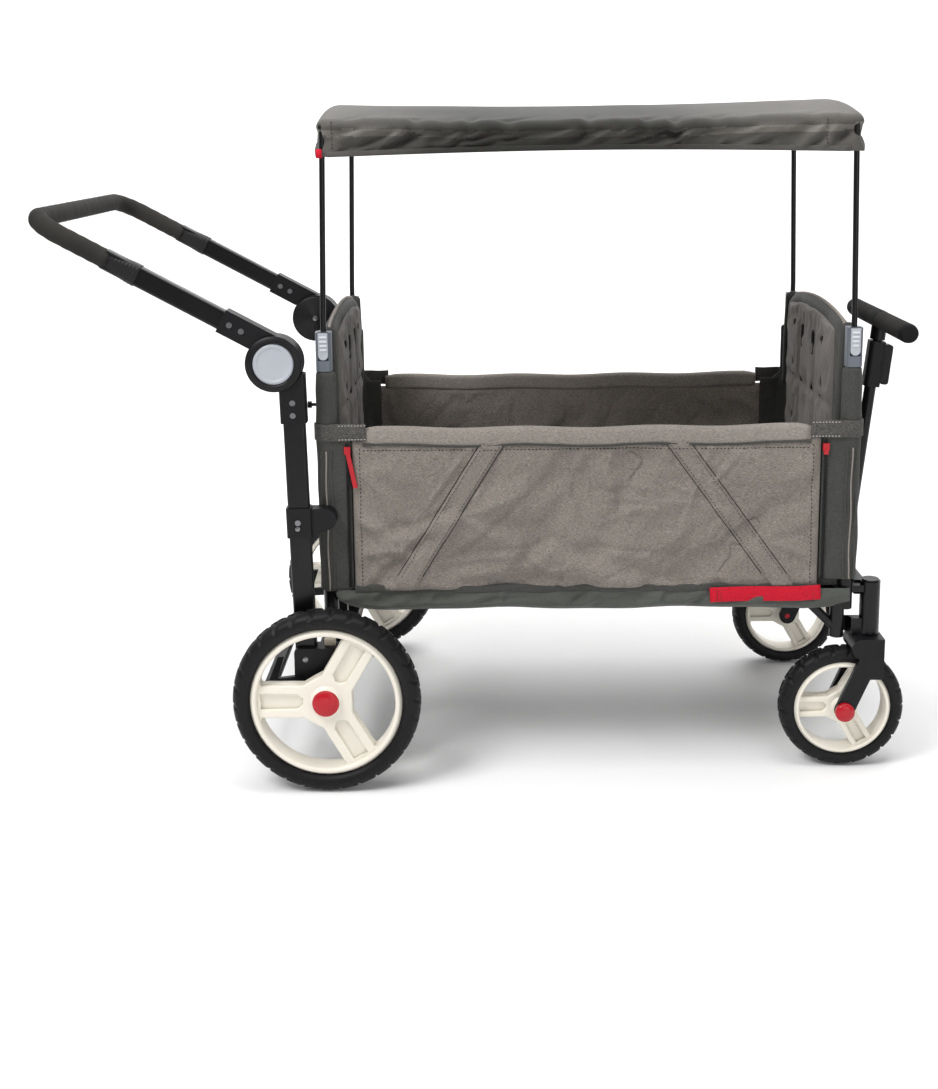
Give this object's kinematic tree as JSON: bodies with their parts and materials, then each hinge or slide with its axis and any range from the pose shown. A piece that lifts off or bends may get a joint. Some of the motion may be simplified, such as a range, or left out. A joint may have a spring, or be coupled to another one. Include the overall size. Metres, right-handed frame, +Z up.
{
  "type": "wagon with pull handle",
  "caption": "Folding stroller wagon: fabric cabin on swivel casters and larger rear wheels, tilting push handle, telescopic pull handle and a canopy on four poles.",
  "frame": {"origin": "on the ground under the middle of the overall length, on the wagon's centre plane", "axes": "+X forward to the pull handle, +Y to the wagon's left, +Z up"},
  "size_m": [1.4145, 0.663, 1.0839],
  "materials": {
    "satin_black_steel": "satin black powder coat",
    "black_plastic": "fine-grained matt",
    "grip_foam": "closed-cell foam, matt",
    "rim_plastic": "satin cream",
    "tyre_rubber": "matt black tread",
    "red_plastic": "gloss red",
    "silver_plastic": "silver grey satin",
    "clip_plastic": "blue-grey",
    "zinc_steel": "dark zinc",
    "taupe_fabric": "heather weave",
    "charcoal_fabric": "plain weave",
    "skirt_fabric": "coated plain weave",
    "canopy_fabric": "coated plain weave",
    "red_webbing": "flat woven webbing"
  },
  "bodies": {
    "rear_frame": {"rear_end_frame": "satin_black_steel", "handle_posts": "satin_black_steel", "post_clamps": "black_plastic", "rear_axle_beam": "satin_black_steel", "axle_housings": "black_plastic", "hub_bases": "black_plastic", "post_rivets": "zinc_steel", "rear_end_panel": "taupe_fabric", "rear_corner_sleeves": "charcoal_fabric", "rear_pole_clips": "clip_plastic", "bottom_skirt": "skirt_fabric", "side_panel_left": "taupe_fabric", "fold_strap": "red_webbing"},
    "rear_floor": {"rear_floor_frame": "satin_black_steel", "rear_floor_mat": "charcoal_fabric"},
    "front_floor": {"front_floor_frame": "satin_black_steel", "front_floor_mat": "charcoal_fabric"},
    "front_frame": {"front_end_frame": "satin_black_steel", "head_tubes": "satin_black_steel", "front_cross_beam": "satin_black_steel", "front_end_panel": "taupe_fabric", "front_corner_sleeves": "charcoal_fabric", "front_pole_clips": "clip_plastic"},
    "side_door": {"side_panel_right": "taupe_fabric"},
    "zip_rear": {"zip_pull_rear": "red_plastic"},
    "zip_front": {"zip_pull_front": "red_plastic"},
    "push_handle": {"handle_tube": "satin_black_steel", "foam_grip": "grip_foam", "grip_sleeves": "black_plastic", "arm_brackets": "black_plastic", "arm_rivets": "zinc_steel"},
    "handle_button_left": {"hub_button_left": "silver_plastic"},
    "handle_button_right": {"hub_button_right": "silver_plastic"},
    "caster_left": {"fork_left": "black_plastic", "caster_pin_left": "red_plastic"},
    "caster_right": {"fork_right": "black_plastic", "caster_pin_right": "red_plastic"},
    "front_wheel_left": {"front_rim_left": "rim_plastic", "front_tyre_left": "tyre_rubber"},
    "front_wheel_right": {"front_rim_right": "rim_plastic", "front_tyre_right": "tyre_rubber"},
    "rear_wheel_left": {"rear_rim_left": "rim_plastic", "rear_tyre_left": "tyre_rubber", "rear_axle_left": "red_plastic"},
    "rear_wheel_right": {"rear_rim_right": "rim_plastic", "rear_tyre_right": "tyre_rubber", "rear_axle_right": "red_plastic"},
    "pull_lower": {"pull_tube": "satin_black_steel", "pull_housing": "black_plastic"},
    "pull_upper": {"pull_stem": "satin_black_steel", "pull_grips": "grip_foam"},
    "pull_trigger": {"release_trigger": "black_plastic"},
    "brake": {"brake_pedal": "black_plastic"},
    "rear_canopy": {"rear_canopy_hoop": "satin_black_steel", "canopy_cover": "canopy_fabric"},
    "front_canopy": {"front_canopy_hoop": "satin_black_steel"},
    "clip_rear_left": {"clip_button_rear_left": "silver_plastic"},
    "clip_rear_right": {"clip_button_rear_right": "silver_plastic"},
    "clip_front_left": {"clip_button_front_left": "silver_plastic"},
    "clip_front_right": {"clip_button_front_right": "silver_plastic"}
  },
  "joints": [
    {"name": "fold_rear_floor", "type": "hinge", "parent": "rear_frame", "child": "rear_floor", "pos_m": [-0.214, 0, 0.3], "axis": [0, -1, 0], "range_deg": [0, 75], "deforming": ["side_panel_left", "side_panel_right", "bottom_skirt", "fold_strap", "canopy_cover"]},
    {"name": "fold_middle", "type": "hinge", "parent": "rear_floor", "child": "front_floor", "pos_m": [0.1645, 0, 0.279], "axis": [0, -1, 0], "range_deg": [-150, 0]},
    {"name": "fold_front_frame", "type": "hinge", "parent": "front_floor", "child": "front_frame", "pos_m": [0.543, 0, 0.3], "axis": [0, -1, 0], "range_deg": [0, 75]},
    {"name": "side_door_drop", "type": "hinge", "parent": "rear_frame", "child": "side_door", "pos_m": [0.1645, -0.241, 0.306], "axis": [1, 0, 0], "range_deg": [0, 85]},
    {"name": "zip_rear_slide", "type": "slide", "parent": "rear_frame", "child": "zip_rear", "axis": [0, 0, -1], "range_m": [0, 0.155]},
    {"name": "zip_front_slide", "type": "slide", "parent": "front_frame", "child": "zip_front", "axis": [0, 0, -1], "range_m": [0, 0.155]},
    {"name": "handle_tilt", "type": "hinge", "parent": "rear_frame", "child": "push_handle", "pos_m": [-0.3245, 0, 0.686], "axis": [0, 1, 0], "range_deg": [-100, 45]},
    {"name": "handle_button_left_press", "type": "slide", "parent": "push_handle", "child": "handle_button_left", "axis": [0, -1, 0], "range_m": [0, 0.004], "stiffness_N_per_m": 600, "springref_m": -0.001},
    {"name": "handle_button_right_press", "type": "slide", "parent": "push_handle", "child": "handle_button_right", "axis": [0, 1, 0], "range_m": [0, 0.004], "stiffness_N_per_m": 600, "springref_m": -0.001},
    {"name": "caster_swivel_left", "type": "hinge", "parent": "front_frame", "child": "caster_left", "pos_m": [0.6225, 0.224, 0.224], "axis": [0, 0, 1], "continuous": true},
    {"name": "caster_swivel_right", "type": "hinge", "parent": "front_frame", "child": "caster_right", "pos_m": [0.6225, -0.224, 0.224], "axis": [0, 0, 1], "continuous": true},
    {"name": "front_wheel_left_spin", "type": "hinge", "parent": "caster_left", "child": "front_wheel_left", "pos_m": [0.5805, 0.224, 0.1015], "axis": [0, 1, 0], "continuous": true},
    {"name": "front_wheel_right_spin", "type": "hinge", "parent": "caster_right", "child": "front_wheel_right", "pos_m": [0.5805, -0.224, 0.1015], "axis": [0, 1, 0], "continuous": true},
    {"name": "rear_wheel_left_spin", "type": "hinge", "parent": "rear_frame", "child": "rear_wheel_left", "pos_m": [-0.2535, 0.309, 0.15], "axis": [0, 1, 0], "continuous": true},
    {"name": "rear_wheel_right_spin", "type": "hinge", "parent": "rear_frame", "child": "rear_wheel_right", "pos_m": [-0.2535, -0.309, 0.15], "axis": [0, 1, 0], "continuous": true},
    {"name": "pull_tilt", "type": "hinge", "parent": "front_frame", "child": "pull_lower", "pos_m": [0.6343, 0, 0.262], "axis": [0, 1, 0], "range_deg": [0, 75]},
    {"name": "pull_extend", "type": "slide", "parent": "pull_lower", "child": "pull_upper", "axis": [0.1097, 0, 0.994], "range_m": [0, 0.24]},
    {"name": "pull_release", "type": "slide", "parent": "pull_lower", "child": "pull_trigger", "axis": [-0.994, 0, 0.1097], "range_m": [0, 0.004], "stiffness_N_per_m": 600, "springref_m": -0.001},
    {"name": "brake_press", "type": "hinge", "parent": "rear_frame", "child": "brake", "pos_m": [-0.2885, 0, 0.15], "axis": [0, -1, 0], "range_deg": [0, 22]},
    {"name": "canopy_lift", "type": "slide", "parent": "rear_frame", "child": "rear_canopy", "axis": [0, 0, 1], "range_m": [0, 0.055]},
    {"name": "canopy_lift_front", "type": "slide", "parent": "front_frame", "child": "front_canopy", "axis": [0, 0, 1], "range_m": [0, 0.055]},
    {"name": "clip_press_rear_left", "type": "slide", "parent": "rear_frame", "child": "clip_rear_left", "axis": [0, -1, 0], "range_m": [0, 0.003], "stiffness_N_per_m": 600, "springref_m": -0.001},
    {"name": "clip_press_rear_right", "type": "slide", "parent": "rear_frame", "child": "clip_rear_right", "axis": [0, 1, 0], "range_m": [0, 0.003], "stiffness_N_per_m": 600, "springref_m": -0.001},
    {"name": "clip_press_front_left", "type": "slide", "parent": "front_frame", "child": "clip_front_left", "axis": [0, -1, 0], "range_m": [0, 0.003], "stiffness_N_per_m": 600, "springref_m": -0.001},
    {"name": "clip_press_front_right", "type": "slide", "parent": "front_frame", "child": "clip_front_right", "axis": [0, 1, 0], "range_m": [0, 0.003], "stiffness_N_per_m": 600, "springref_m": -0.001}
  ],
  "couplings": [
    {"joint": "fold_middle", "follows": "fold_rear_floor", "ratio": -2},
    {"joint": "fold_front_frame", "follows": "fold_rear_floor", "ratio": 1},
    {"joint": "canopy_lift_front", "follows": "canopy_lift", "ratio": 1}
  ]
}
